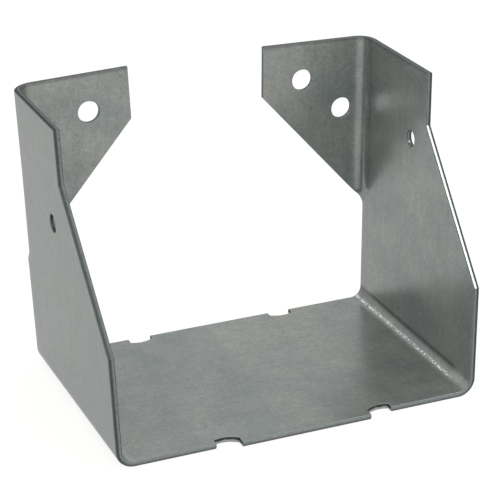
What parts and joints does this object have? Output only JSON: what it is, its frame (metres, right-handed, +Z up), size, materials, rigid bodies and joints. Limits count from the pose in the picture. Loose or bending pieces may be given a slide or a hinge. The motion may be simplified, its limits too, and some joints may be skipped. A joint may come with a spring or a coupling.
{
  "type": "joist hanger",
  "caption": "Folded sheet-steel joist hanger with a flat notched seat, side walls that slope back to a narrow top, and nailing flanges turned inwards.",
  "frame": {"origin": "middle of the base: centre of the bounding box at the level of the seat's underside", "axes": "+X to the right across the pocket, +Y to the back, towards the beam that the flanges are nailed to, +Z up"},
  "size_m": [0.0974, 0.0672, 0.0757],
  "materials": {
    "galvanised_sheet": "galvanised, dull grey with a faint mottle"
  },
  "bodies": {
    "root": {"hanger": "galvanised_sheet"}
  },
  "joints": []
}
